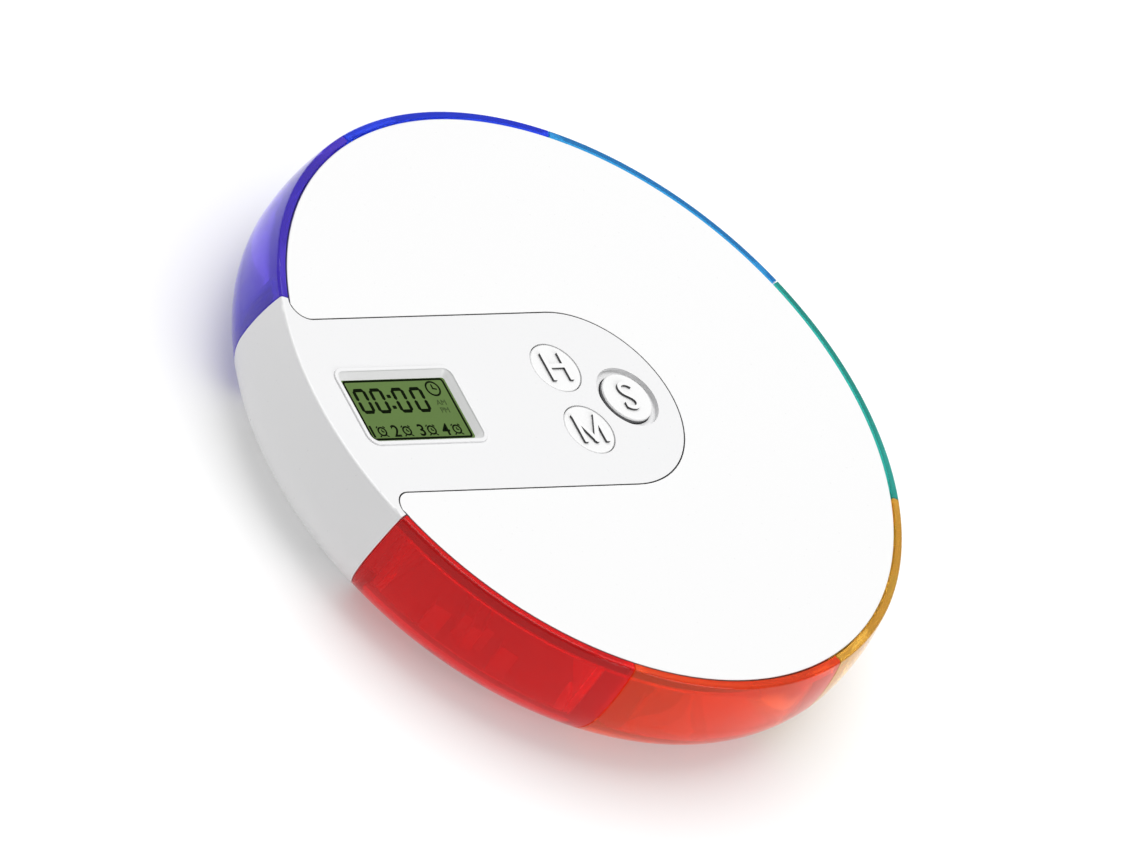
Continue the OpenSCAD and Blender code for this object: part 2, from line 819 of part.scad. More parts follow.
module board_outline() {
    wide = 2 * (housing_in - board_side_gap);
    narrow = 2 * (outer_screw[1] - boss_r - board_boss_gap);
    nose = 2 * (inner_screw[1] - boss_r - board_nose_gap);
    step_x = outer_screw[0] + boss_r + board_step;
    x0 = window_c[0] - glass_w / 2 - frame_wall - fit;
    translate([x0, -narrow / 2]) square([step_x - x0, narrow]);
    translate([step_x, -wide / 2]) square([board_wide_x1 - step_x, wide]);
    translate([0, -nose / 2]) square([buzzer_x + board_nose_run, nose]);
}

module circuit_board() {
    color("darkgreen") difference() {
        slab(board_z, board_top_z) board_outline();
        screw_holes(BOARD_SCREWS, screw_d / 2 + fit, board_z, board_top_z);
    }
}

// Drop of black resin over the controller
module controller_chip() {
    color("black") translate([dome_x, 0, board_top_z]) rotate_extrude() intersection() {
        translate([0, dome_h - dome_r]) circle(r = dome_r);
        square([dome_r, dome_h]);
    }
}

module clock_crystal() {
    color("silver") translate([crystal_at[0], crystal_at[1], board_top_z + crystal_d / 2]) {
        rotate([0, 90, 0]) cylinder(d = crystal_d, h = crystal_l);
    }
}

module buzzer() {
    color("black") translate([buzzer_x, 0, board_z - buzzer_h]) difference() {
        cylinder(d = buzzer_d, h = buzzer_h);
        cylinder(d = buzzer_port_d, h = buzzer_port_h);
    }
}

module cell_holder() {
    w = bay_w + 2 * holder_wall;
    x0 = bay_x0 - holder_wall;
    color("white") difference() {
        slab(base_z, holder_top_z) {
            translate([x0, -w / 2]) square([bay_l + 2 * holder_wall, w]);
        }
        slab(0, roof_z) {
            translate([bay_x0, -bay_w / 2]) square([bay_l, bay_w]);
        }
        // The outer end stands clear of the turned-in body wall
        slab(0, base_z + belly_step) {
            translate([x0 - root, -w]) square([2 * holder_wall, 2 * w]);
        }
        screw_holes(OUTER_SCREWS, boss_r + fit, 0, top_z);
        screw_holes(BOARD_SCREWS, board_head_d / 2 + head_gap, roof_z - head_sink, top_z);
        // Slits for the terminal tails
        for (y = [-1, 1]) {
            slab(roof_z - root, top_z) {
                translate([bay_x1 - 2 * contact_t, y * cell_y - tail_w / 2 - tail_gap]) {
                    square([2 * contact_t, tail_w + 2 * tail_gap]);
                }
            }
        }
    }
}

// A cell along X, its nub towards -X or +X
module battery(y, toward) {
    color("goldenrod") translate([cell_x0 + cell_l / 2, y, cell_z]) rotate([0, 90 * toward, 0]) {
        translate([0, 0, -cell_l / 2]) cylinder(d = cell_d, h = cell_l - nub_h);
        translate([0, 0, cell_l / 2 - nub_h]) cylinder(d = nub_d, h = nub_h);
    }
}

// Plate along the bay's outer end that joins the two cells
module contact_link() {
    color("silver") translate([bay_x0, -cell_y - terminal_w / 2, cell_z - terminal_h / 2]) {
        cube([contact_t, 2 * cell_y + terminal_w, terminal_h]);
    }
}

// Plate at the bay's inner end with a bent leaf that touches the cell, and a tail up to the board
module terminal(y) {
    low = cell_z - terminal_h / 2;
    high = cell_z + terminal_h / 2;
    plate_x = bay_x1 - contact_t;
    leaf_x = bay_x1 - contact_t / 2;
    touch_x = cell_x0 + cell_l + fit;
    color("silver") {
        translate([plate_x, y - terminal_w / 2, low]) cube([contact_t, terminal_w, terminal_h]);
        translate([0, y + leaf_w / 2, 0]) rotate([90, 0, 0]) linear_extrude(height = leaf_w) {
            polygon([[leaf_x, low], [touch_x + contact_t, cell_z], [leaf_x, high],
                [leaf_x - contact_t, high], [touch_x, cell_z], [leaf_x - contact_t, low]]);
        }
        translate([plate_x, y - tail_w / 2, cell_z]) cube([contact_t, tail_w, board_z - cell_z]);
    }
}

module battery_door() {
    color("white") difference() {
        intersection() {
            rotate_extrude() outer_section();
            slab(under_z, door_top_z) circle(r = door_end_r);
            union() {
                slab(under_z, door_top_z) {
                    translate([-far, -door_w / 2]) square([far + door_x1, door_w]);
                }
                slab(door_top_z - door_tongue_t, door_top_z) {
                    w = door_w + 2 * door_tongue_w;
                    translate([-far, -w / 2]) square([far + door_x1, w]);
                }
            }
        }
        // Grip grooves
        for (i = [0:grooves - 1]) {
            translate([-base_r + groove_inset + groove_pitch * i, -groove_l / 2, under_z]) {
                cube([groove_w, groove_l, groove_h]);
            }
        }
    }
}

module long_screws(places) {
    color("silver") {
        screw_holes(places, screw_head_d / 2, head_seat_z - screw_head_h, head_seat_z);
        screw_holes(places, screw_d / 2, head_seat_z, head_seat_z + case_screw_l);
    }
}

module board_screws() {
    color("silver") {
        screw_holes(BOARD_SCREWS, board_head_d / 2, board_z - board_head_h, board_z);
        screw_holes(BOARD_SCREWS, screw_d / 2, board_z, board_z + board_screw_l);
    }
}

module foot(i) {
    color("gray") rotate([0, 0, foot_turns[i]]) translate([foot_circle_r, 0, 0]) {
        cylinder(d = foot_d, h = foot_h + foot_seat);
    }
}

base_shell();
housing_ring();
top_cover();
control_panel();
tray(-3, "firebrick");  // tray_red
tray(-2, "orangered");  // tray_orange
tray(-1, "goldenrod");  // tray_amber
tray(0, "lightseagreen");  // tray_teal
tray(1, "deepskyblue");  // tray_sky
tray(2, "royalblue");  // tray_blue
tray(3, "slateblue");  // tray_violet
button(HOUR);  // button_hour
button(MINUTE);  // button_minute
button(SET);  // button_set
plunger(HOUR);  // plunger_hour
plunger(MINUTE);  // plunger_minute
plunger(SET);  // plunger_set
push_switch(HOUR);  // switch_hour
push_switch(MINUTE);  // switch_minute
push_switch(SET);  // switch_set
display_cell();
display_frame();
contact_strip(1);  // contact_strip_upper
contact_strip(-1);  // contact_strip_lower
circuit_board();
controller_chip();
clock_crystal();
buzzer();
cell_holder();
battery(cell_y, -1);  // battery_upper
battery(-cell_y, 1);  // battery_lower
contact_link();
terminal(-cell_y);  // contact_positive
terminal(cell_y);  // contact_negative
battery_door();
long_screws(CASE_SCREWS);  // case_screws
long_screws(COVER_SCREWS);  // cover_screws
board_screws();
foot(0);  // foot_1
foot(1);  // foot_2
foot(2);  // foot_3
foot(3);  // foot_4
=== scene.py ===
"""Looks of a round seven-tray pill organiser with a reminder clock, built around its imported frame."""

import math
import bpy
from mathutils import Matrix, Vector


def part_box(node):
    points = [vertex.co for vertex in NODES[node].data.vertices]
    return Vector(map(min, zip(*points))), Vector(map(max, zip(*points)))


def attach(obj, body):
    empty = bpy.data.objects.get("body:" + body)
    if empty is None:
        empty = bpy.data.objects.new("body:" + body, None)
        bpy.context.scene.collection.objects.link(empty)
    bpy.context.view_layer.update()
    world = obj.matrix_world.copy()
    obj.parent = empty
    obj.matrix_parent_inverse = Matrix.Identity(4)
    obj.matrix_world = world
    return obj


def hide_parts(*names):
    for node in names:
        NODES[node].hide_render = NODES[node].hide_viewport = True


bl_info = {
    "name": "Pill organiser looks",
    "version": (1, 0, 0),
    "blender": (4, 5, 0),
    "location": "View3D > Sidebar > Organiser",
    "description": "Finishes, key letters, display symbols and studio stage of a round pill organiser",
    "category": "Object",
}

import bpy
from mathutils import Matrix, Vector

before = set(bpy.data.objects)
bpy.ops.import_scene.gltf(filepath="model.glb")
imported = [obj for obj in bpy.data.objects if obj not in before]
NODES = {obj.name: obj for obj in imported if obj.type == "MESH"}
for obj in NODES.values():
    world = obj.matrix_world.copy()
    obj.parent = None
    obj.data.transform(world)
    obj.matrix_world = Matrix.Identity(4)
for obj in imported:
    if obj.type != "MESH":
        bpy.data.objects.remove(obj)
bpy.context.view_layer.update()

MM = 0.001
CASE = "case"
TRAYS = ("red", "orange", "amber", "teal", "sky", "blue", "violet")
KEYS = ("hour", "minute", "set")

# Points closer than this are one point
MERGE = 1e-6
# A face lies flat across an axis when its normal's share along the axis is above this
FLAT = 0.99


def corners(node):
    """Low and high corner of a frame node's box."""
    return tuple(Vector(corner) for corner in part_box(node))


COVER_HIGH = corners("top_cover")[1]
TOP = COVER_HIGH.z
COVER_R = COVER_HIGH.x
GLASS_LOW, GLASS_HIGH = corners("display_cell")
GLASS_TOP = GLASS_HIGH.z
GLASS_CENTRE = (GLASS_LOW + GLASS_HIGH) / 2

# How far below the top face the painted shade on the seam's walls begins
SEAM_LINE = 0.1 * MM
# How far down the seam's walls carry painted shade
SEAM_DEPTH = 1.2 * MM
# How far down the cover carries painted shade: to its lower face, which shows through the clear trays
COVER_DEPTH = 3.0 * MM
# Half the width of the tongue, and where its round end is centred
TONGUE_R = 16.2 * MM
TONGUE_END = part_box("control_panel")[1][0] - TONGUE_R
# The panel's wall carries painted shade from this far inside its outline, but not on this width of rim
PANEL_EDGE = 0.06 * MM
PANEL_RIM = 4 * MM
# How far below the cover's top the painted shade on the set key's side begins, and over what height
KEY_SHADE = 0.32 * MM
KEY_SHADE_FADE = 0.05 * MM

# Strokes of the straight letters, from (-1, -1) to (1, 1) over the letter's height
HOUR_STROKES = ((-0.78, -1, -0.78, 1), (0.78, -1, 0.78, 1), (-0.78, 0.05, 0.78, 0.05))
MINUTE_STROKES = ((-0.98, -1, -0.98, 1), (-0.98, 1, 0, -1), (0, -1, 0.98, 1), (0.98, -1, 0.98, 1))

# The clock crystal's can, its wires, the rounding of its edges and the sunk middle of its outer end
CAN_R = 0.75 * MM
CAN_RUN = 5.0 * MM
CAN_ROUND = 0.2 * MM
CAN_RIM = 0.15 * MM
CAN_SINK = 0.05 * MM
WIRE = 0.3 * MM
WIRE_SIDE = 0.35 * MM

# Length and colour of the band at a cell's positive end
CELL_BAND = 12 * MM
BRASS = (0.5, 0.27, 0.08)

# Half the field inside the display's border, and the border's corner radius
SYMBOL_FIELD = Vector((10.17 * MM, 5.62 * MM))
BORDER_CORNER = 0.7 * MM
# Tips of the bars: how far they reach, and their width as a share of the bar's
SEGMENT_TIP = (0.22 * MM, 0.3)
DOT_TIP = (0.1 * MM, 0.7)
HAND_TIP = (0.1 * MM, 0.4)
TINY_TIP = (0.08 * MM, 0.4)
WIRE_TIP = (0.05 * MM, 0.8)
# Reach of a letter stroke's tips as a share of the stroke, and their width
LETTER_TIP = (0.1, 0.8)
# What a digit's bars leave free, as shares of the stroke
ACROSS_GAP = 1.1
UPRIGHT_GAP = 0.35
# Length and width of the colon's dots, the clock's hands and the alarms' small bars
DOT = (0.75 * MM, 0.6 * MM)
HAND = (0.95 * MM, 0.24 * MM)
TINY = (0.5 * MM, 0.2 * MM)
# Radius, line and number of sides of the clock's and the alarms' rings
CLOCK_RING = (1.43 * MM, 0.3 * MM, 40)
ALARM_RING = (0.88 * MM, 0.27 * MM, 28)
# Bars of the clock and of an alarm: place from the ring's middle in mm, and turn
CLOCK_BARS = ((0, 0.35, math.pi / 2), (0.3, -0.05, -0.2))
ALARM_BARS = (
    (-0.72, 0.82, 0.75), (-0.68, -0.86, math.pi / 2 - 0.9),
    (0.72, 0.82, -0.75), (0.68, -0.86, math.pi / 2 + 0.9),
    (0, 0.15, math.pi / 2), (0.13, -0.05, -0.3),
)
HALVES_H = 0.95 * MM
NUMBER_WEIGHT = 0.03 * MM

# Places of the symbols from the middle of the glass, in mm
DIGIT_X = (-7.82, -4.53, -0.16, 3.5)
DIGIT_Y = 1.72
COLON_X = -2.34
COLON_Y = (2.5, 0.45)
CLOCK = (7.26, 3.68)
HALVES_X = 7.4
HALVES_Y = (1.08, -0.35)
NUMBER_X = (-9.4, -4.67, 0.54, 5.37)
NUMBER_Y = -3.95
ALARM_X = (-7.42, -2.42, 2.58, 7.68)
ALARM_Y = -4.0

# Side of the floor, and the lights' places, aims and sizes
FLOOR_SIZE = 14
TOP_LIGHT = ((0.15, 0.35, 1.3), (0, 0, 0), 1.6)
FRONT_LIGHT = ((0.5, -1.2, 0.55), (0, 0, 0.01), 0.8)
# Angles of the photograph's view: round the object, above the horizon, and leaning in the frame
AZIMUTH, ELEVATION, LEAN = (math.radians(angle) for angle in (-57.1, 36.076, 40.37))
# The picture's middle, left of and below the cover's, in cover radii
AIM_LEFT, AIM_DOWN = 0.0610, 0.0829
SENSOR_WIDTH = 36
CLIP_END = 100

GLOSS_SKIN = {"Wave scale": 30.0, "Grain scale": 1800.0, "Tone": 0.2, "Haze": 0.03, "Grain height": 0.0}
SATIN_SKIN = {"Wave scale": 80.0, "Grain scale": 5200.0, "Tone": 0.5, "Haze": 0.15, "Grain height": 1.0}
TRAY_SKIN = {"Wave scale": 55.0, "Grain scale": 900.0, "Tone": 0.6, "Haze": 0.05, "Grain height": 0.15}
RUBBER_SKIN = {"Wave scale": 300.0, "Grain scale": 3500.0, "Tone": 0.8, "Haze": 0.2, "Grain height": 1.5}
BOARD_SKIN = {"Wave scale": 500.0, "Grain scale": 2500.0, "Tone": 1.0, "Haze": 0.1, "Grain height": 0.8}
BLACK_SKIN = {"Wave scale": 400.0, "Grain scale": 4000.0, "Tone": 0.8, "Haze": 0.15, "Grain height": 1.2}
HOLDER_SKIN = {"Wave scale": 90.0, "Grain scale": 4000.0, "Tone": 0.6, "Haze": 0.12, "Grain height": 1.0}
STEEL_SKIN = {"Wave scale": 350.0, "Grain scale": 6000.0, "Tone": 0.7, "Haze": 0.2, "Grain height": 1.0}
GLASS_SKIN = {"Wave scale": 120.0, "Grain scale": 4500.0, "Tone": 0.8, "Haze": 0.1, "Grain height": 0.6}
JACKET_SKIN = {"Wave scale": 200.0, "Grain scale": 3000.0, "Tone": 0.8, "Haze": 0.1, "Grain height": 0.5}
INK_SKIN = {"Wave scale": 900.0, "Grain scale": 5000.0, "Tone": 0.6, "Haze": 0.05, "Grain height": 0.3}
PAPER_SKIN = {"Wave scale": 3.0, "Grain scale": 900.0, "Tone": 0.5, "Haze": 0.05, "Grain height": 0.3}


def on_glass(x, y):
    """Place on the glass, given in mm from its middle."""
    return Vector((GLASS_CENTRE.x + x * MM, GLASS_CENTRE.y + y * MM, GLASS_TOP))


def key_centre(key):
    """Middle of a key's top face."""
    low, high = corners("button_" + key)
    return Vector(((low.x + high.x) / 2, (low.y + high.y) / 2, high.z))


# ---------------------------------------------------------------- settings


def colour(name, text, value):
    return bpy.props.FloatVectorProperty(
        name=name, description=text, subtype="COLOR", size=3, min=0.0, max=1.0, default=value
    )


def length(name, text, value):
    return bpy.props.FloatProperty(name=name, description=text, unit="LENGTH", min=0.0, default=value)


def share(name, text, value):
    return bpy.props.FloatProperty(
        name=name, description=text, subtype="FACTOR", min=0.0, max=1.0, default=value
    )


def amount(name, text, value, least=0.0):
    return bpy.props.FloatProperty(name=name, description=text, min=least, default=value)


class ORGANISER_PG_shell(bpy.types.PropertyGroup):
    """White mouldings and what is inside them"""

    white: colour("Shell white", "Colour of the cover, the keys and the base", (0.82, 0.82, 0.82))
    panel: colour("Panel white", "Colour of the control panel", (0.77, 0.77, 0.775))
    # Painted shade: a dark colour on the seam walls of the cover and panel and on the cover's edge, where the
    # gaps between parts lie in shade
    seam: colour("Seam", "Colour in the seam round the cover", (0.08, 0.08, 0.085))
    roughness: share("Roughness", "Roughness of the white gloss plastic", 0.28)
    # Painted shade on the set key's side wall, down in its groove
    key_side: colour("Set key side", "Colour of the shaded side of the set key", (0.09, 0.09, 0.095))
    rubber: colour("Rubber", "Colour of the feet", (0.3, 0.3, 0.31))
    board: colour("Board", "Colour of the circuit board", (0.02, 0.09, 0.035))


class ORGANISER_PG_trays(bpy.types.PropertyGroup):
    """Translucent plastics of the trays"""

    red: colour("Red", "Plastic of the red tray", (0.95, 0.01, 0.012))
    orange: colour("Orange", "Plastic of the orange tray", (1.0, 0.125, 0.022))
    amber: colour("Amber", "Plastic of the amber tray", (0.92, 0.56, 0.09))
    teal: colour("Teal", "Plastic of the teal tray", (0.05, 0.55, 0.48))
    sky: colour("Sky blue", "Plastic of the sky blue tray", (0.05, 0.4, 0.8))
    blue: colour("Blue", "Plastic of the blue tray", (0.04, 0.1, 0.92))
    violet: colour("Violet", "Plastic of the violet tray", (0.15, 0.085, 0.78))
    clearness: share("Clearness", "Share of the light that passes straight through the plastic", 0.85)
    roughness: share("Roughness", "Roughness of the tray plastic", 0.05)
    # Painted glow: emission in each tray's own colour, standing in for light passing through the plastic
    glow: share("Glow", "Light that runs in the clear plastic and leaves it in its colour", 0.062)


class ORGANISER_PG_display(bpy.types.PropertyGroup):
    """Colours and sizes of the display's symbols"""

    green: colour("Green", "Colour of the display's background", (0.105, 0.18, 0.045))
    ink: colour("Ink", "Colour of the lit symbols", (0.003, 0.005, 0.002))
    border: length("Border", "Width of the dark line round the display", 0.36 * MM)
    lift: length("Lift", "Thickness of the symbols on the glass", 0.03 * MM)
    digit_h: length("Digit height", "Height of the time digits", 4.7 * MM)
    digit_w: length("Digit width", "Width of the time digits", 2.6 * MM)
    stroke: length("Stroke", "Thickness of a digit's segments", 0.6 * MM)
    number_h: length("Number height", "Height of the alarm numbers", 2.2 * MM)


class ORGANISER_PG_letters(bpy.types.PropertyGroup):
    """Raised letters on the keys"""

    height: length("Height", "Height of a letter", 5.2 * MM)
    rise: length("Rise", "How far a letter stands out of its key", 0.4 * MM)
    stroke: length("Stroke", "Thickness of the letters' strokes", 0.78 * MM)
    # Painted shade: the letters' side walls are coloured dark for the shade on them, while their tops stay
    # white
    side: colour("Side", "Colour of the letters' side walls", (0.05, 0.05, 0.052))


class ORGANISER_PG_stage(bpy.types.PropertyGroup):
    """Camera, floor and lights"""

    lens: amount("Lens", "Focal length in mm", 1100.0, 50)
    frame_width: length("Frame width", "Width of the picture at the cover", 3.197 * COVER_R)
    sky: amount("Sky", "Strength of the light from above", 0.75)
    horizon: amount("Horizon", "Strength of the light at the horizon", 0.18)
    floor_glow: amount("Floor glow", "Light given off by the floor", 0.26)
    top_light: amount("Top light", "Power of the top light", 14.6)
    front_light: amount("Front light", "Power of the front light", 5.0)


# ---------------------------------------------------------------- shader groups


def new_group(name, inputs, outputs):
    """Empty shader group with named number or colour sockets."""
    group = bpy.data.node_groups.new(name, "ShaderNodeTree")
    kinds = {"c": "NodeSocketColor", "f": "NodeSocketFloat"}
    for label, kind, value in inputs:
        socket = group.interface.new_socket(label, in_out="INPUT", socket_type=kinds[kind])
        socket.default_value = value
    for label, kind in outputs:
        group.interface.new_socket(label, in_out="OUTPUT", socket_type=kinds[kind])
    return group, group.nodes.new("NodeGroupInput"), group.nodes.new("NodeGroupOutput")


def math_node(tree, operation, *values):
    """Output of a new math node, whose inputs are numbers or other nodes' outputs."""
    node = tree.nodes.new("ShaderNodeMath")
    node.operation = operation
    for socket, value in zip(node.inputs, values):
        if isinstance(value, (int, float)):
            socket.default_value = value
        else:
            tree.links.new(value, socket)
    return node.outputs[0]


def object_axes(tree):
    """X, Y and Z of the object's own coordinates."""
    split = tree.nodes.new("ShaderNodeSeparateXYZ")
    tree.links.new(tree.nodes.new("ShaderNodeTexCoord").outputs["Object"], split.inputs[0])
    return split.outputs


def object_noise(tree, scale, detail, rough):
    """Noise over the object's own coordinates, its scale a socket in cycles per metre."""
    noise = tree.nodes.new("ShaderNodeTexNoise")
    noise.inputs["Detail"].default_value = detail
    noise.inputs["Roughness"].default_value = rough
    tree.links.new(tree.nodes.new("ShaderNodeTexCoord").outputs["Object"], noise.inputs["Vector"])
    tree.links.new(scale, noise.inputs["Scale"])
    return noise.outputs["Fac"]


def moulded_skin_group():
    """Skin of injection moulded plastic: slight sink marks, fine polish haze and faint tone changes."""
    group, inside, out = new_group(
        "moulded_skin",
        [("Base", "c", (0.8, 0.8, 0.8, 1)), ("Deep", "c", (0.7, 0.7, 0.7, 1)), ("Wave scale", "f", 60.0),
         ("Grain scale", "f", 2500.0), ("Tone", "f", 0.5), ("Roughness", "f", 0.3), ("Haze", "f", 0.06),
         ("Grain height", "f", 0.2)],
        [("Colour", "c"), ("Roughness", "f"), ("Height", "f")],
    )
    wave = object_noise(group, inside.outputs["Wave scale"], detail=2.0, rough=0.5)
    grain = object_noise(group, inside.outputs["Grain scale"], detail=3.0, rough=0.6)
    mix = group.nodes.new("ShaderNodeMix")
    mix.data_type = "RGBA"
    group.links.new(math_node(group, "MULTIPLY", wave, inside.outputs["Tone"]), mix.inputs["Factor"])
    group.links.new(inside.outputs["Base"], mix.inputs["A"])
    group.links.new(inside.outputs["Deep"], mix.inputs["B"])
    group.links.new(mix.outputs["Result"], out.inputs["Colour"])
    spread = math_node(group, "SUBTRACT", grain, 0.5)
    haze = math_node(group, "MULTIPLY", spread, inside.outputs["Haze"])
    group.links.new(math_node(group, "ADD", inside.outputs["Roughness"], haze), out.inputs["Roughness"])
    fine = math_node(group, "MULTIPLY", grain, inside.outputs["Grain height"])
    group.links.new(math_node(group, "ADD", wave, fine), out.inputs["Height"])
    return group


def height_mask_group():
    """Mask of the part of a surface beyond a height: above it, or below it where the softness is negative."""
    group, inside, out = new_group(
        "height_mask", [("Height", "f", 0.0), ("Softness", "f", 0.0002)], [("Mask", "f")]
    )
    over = math_node(group, "SUBTRACT", object_axes(group)["Z"], inside.outputs["Height"])
    ramp = math_node(group, "DIVIDE", over, inside.outputs["Softness"])
    clamp = group.nodes.new("ShaderNodeClamp")
    group.links.new(ramp, clamp.inputs["Value"])
    group.links.new(clamp.outputs[0], out.inputs["Mask"])
    return group


def seam_mask_group():
    """Mask of the painted shade on a band of wall below a height, outside a U-shaped outline and inside the
    rim.
    """
    group, inside, out = new_group(
        "seam_mask",
        [("Top", "f", 0.02), ("Depth", "f", 0.001), ("End", "f", 0.0), ("Least", "f", 0.0),
         ("Rim", "f", -1.0)],
        [("Mask", "f")],
    )
    axes = object_axes(group)
    x, y = axes["X"], axes["Y"]
    beyond = math_node(group, "MAXIMUM", math_node(group, "SUBTRACT", x, inside.outputs["End"]), 0.0)
    squares = [math_node(group, "MULTIPLY", part, part) for part in (beyond, y)]
    away = math_node(group, "SQRT", math_node(group, "ADD", *squares))
    under = math_node(group, "SUBTRACT", inside.outputs["Top"], axes["Z"])
    masks = [
        math_node(group, "GREATER_THAN", away, inside.outputs["Least"]),
        math_node(group, "GREATER_THAN", x, inside.outputs["Rim"]),
        math_node(group, "GREATER_THAN", under, 0.0),
        math_node(group, "LESS_THAN", under, inside.outputs["Depth"]),
    ]
    whole = masks[0]
    for mask in masks[1:]:
        whole = math_node(group, "MULTIPLY", whole, mask)
    group.links.new(whole, out.inputs["Mask"])
    return group


GROUP_MAKERS = {
    "moulded_skin": moulded_skin_group,
    "height_mask": height_mask_group,
    "seam_mask": seam_mask_group,
}


def place_group(material, name, values):
    """Puts a shared group with its values into a material, and makes the group at its first use."""
    node = material.node_tree.nodes.new("ShaderNodeGroup")
    node.node_tree = bpy.data.node_groups.get(name) or GROUP_MAKERS[name]()
    for key, value in values.items():
        node.inputs[key].default_value = value
    return node


def rgba(value):
    return (value[0], value[1], value[2], 1.0)


def skin_material(name, base, deep, roughness, bump=0.02, bump_distance=0.1 * MM, skin=None, **shader):
    """Principled material whose colour, roughness and normal come from the moulded skin."""
    material = bpy.data.materials.new(name)
    material.use_nodes = True
    tree = material.node_tree
    principled = tree.nodes["Principled BSDF"]
    for key, value in shader.items():
        principled.inputs[key.replace("_", " ")].default_value = value
    values = {"Base": rgba(base), "Deep": rgba(deep), "Roughness": roughness, **(skin or {})}
    group = place_group(material, "moulded_skin", values)
    tree.links.new(group.outputs["Colour"], principled.inputs["Base Color"])
    tree.links.new(group.outputs["Roughness"], principled.inputs["Roughness"])
    normal = tree.nodes.new("ShaderNodeBump")
    normal.inputs["Strength"].default_value = bump
    normal.inputs["Distance"].default_value = bump_distance
    tree.links.new(group.outputs["Height"], normal.inputs["Height"])
    tree.links.new(normal.outputs[0], principled.inputs["Normal"])
    return material


def colour_where(material, mask, value):
    """Puts another base colour into a material where a mask says so."""
    tree = material.node_tree
    base = tree.nodes["Principled BSDF"].inputs["Base Color"]
    mix = tree.nodes.new("ShaderNodeMix")
    mix.data_type = "RGBA"
    tree.links.new(mask, mix.inputs["Factor"])
    tree.links.new(base.links[0].from_socket, mix.inputs["A"])
    mix.inputs["B"].default_value = rgba(value)
    tree.links.new(mix.outputs["Result"], base)


def darker(value, by):
    return tuple(channel * (1 - by) for channel in value)


def shade_node(node, material):
    """Gives a frame node one material."""
    piece = NODES[node]
    piece.data.materials.clear()
    piece.data.materials.append(material)


# ---------------------------------------------------------------- modelling helpers


def deselect():
    if bpy.context.object and bpy.context.object.mode != "OBJECT":
        bpy.ops.object.mode_set(mode="OBJECT")
    bpy.ops.object.select_all(action="DESELECT")


def activate(piece):
    deselect()
    piece.select_set(True)
    bpy.context.view_layer.objects.active = piece


def settle(piece):
    """Puts a piece's place into its mesh, so that its object sits at the origin."""
    activate(piece)
    bpy.ops.object.transform_apply(location=True, rotation=True, scale=True)


def pick_faces(piece, test):
    """Selects the faces whose normal passes a test, and goes into edit mode."""
    activate(piece)
    mesh = piece.data
    for face in mesh.polygons:
        face.select = bool(test(face.normal))
    for edge in mesh.edges:
        edge.select = False
    for vertex in mesh.vertices:
        vertex.select = False
    bpy.ops.object.mode_set(mode="EDIT")
    bpy.ops.mesh.select_mode(type="FACE")


def bar(size, tip, tip_share):
    """Flat bar along X about the origin, both ends drawn out to a narrower tip."""
    deselect()
    bpy.ops.mesh.primitive_cube_add(size=1, location=(0, 0, size[2] / 2))
    piece = bpy.context.object
    piece.scale = (size[0] - 2 * tip, size[1], size[2])
    settle(piece)
    for side in (-1, 1):
        pick_faces(piece, lambda normal: normal.x * side > FLAT)
        bpy.ops.mesh.extrude_region_move(TRANSFORM_OT_translate={"value": (side * tip, 0, 0)})
        bpy.ops.transform.resize(value=(1, tip_share, 1))
        bpy.ops.object.mode_set(mode="OBJECT")
    return piece


def copy_at(piece, place, turn=0.0):
    """A copy with its own mesh, turned about Z and moved, with its place in its mesh."""
    copy = piece.copy()
    copy.data = piece.data.copy()
    copy.name = "part"
    bpy.context.scene.collection.objects.link(copy)
    copy.data.transform(Matrix.Translation(place) @ Matrix.Rotation(turn, 4, "Z"))
    return copy


def bars_round(piece, centre, places):
    """Copies of a bar round a centre, at places in mm and with a turn each."""
    return [copy_at(piece, centre + Vector((x * MM, y * MM, 0)), turn) for x, y, turn in places]


def join(pieces):
    deselect()
    for piece in pieces:
        piece.select_set(True)
    bpy.context.view_layer.objects.active = pieces[0]
    bpy.ops.object.join()
    return bpy.context.object


def united(pieces):
    """One closed solid out of overlapping ones."""
    whole = pieces[0]
    for other in pieces[1:]:
        activate(whole)
        cut = whole.modifiers.new("union", "BOOLEAN")
        cut.operation = "UNION"
        cut.solver = "EXACT"
        cut.object = other
        bpy.ops.object.modifier_apply(modifier=cut.name)
        discard(other)
    return whole


def discard(piece):
    bpy.data.objects.remove(piece, do_unlink=True)


def close_up():
    """Makes all faces of the mesh in edit mode point outwards, and leaves edit mode."""
    bpy.ops.mesh.select_all(action="SELECT")
    bpy.ops.mesh.normals_make_consistent(inside=False)
    bpy.ops.object.mode_set(mode="OBJECT")


def written(text, height, depth, place, weight=0.0):
    """Raised text of a given height, centred on a place, as a mesh."""
    deselect()
    bpy.ops.object.text_add(location=(0, 0, 0))
    piece = bpy.context.object
    piece.data.body = text
    piece.data.size = height
    piece.data.offset = weight
    piece.data.extrude = depth / 2
    piece.data.resolution_u = 8
    bpy.ops.object.convert(target="MESH")
    piece = bpy.context.object
    points = [vertex.co.copy() for vertex in piece.data.vertices]
    low = Vector([min(point[axis] for point in points) for axis in range(3)])
    high = Vector([max(point[axis] for point in points) for axis in range(3)])
    grow = height / (high.y - low.y)
    middle = (low + high) / 2
    piece.data.transform(Matrix.Translation((-middle.x, -middle.y, -low.z)))
    piece.data.transform(Matrix.Diagonal((grow, grow, 1, 1)))
    piece.data.transform(Matrix.Translation(place))
    activate(piece)
    bpy.ops.object.mode_set(mode="EDIT")
    bpy.ops.mesh.select_all(action="SELECT")
    bpy.ops.mesh.remove_doubles(threshold=MERGE)
    close_up()
    return piece


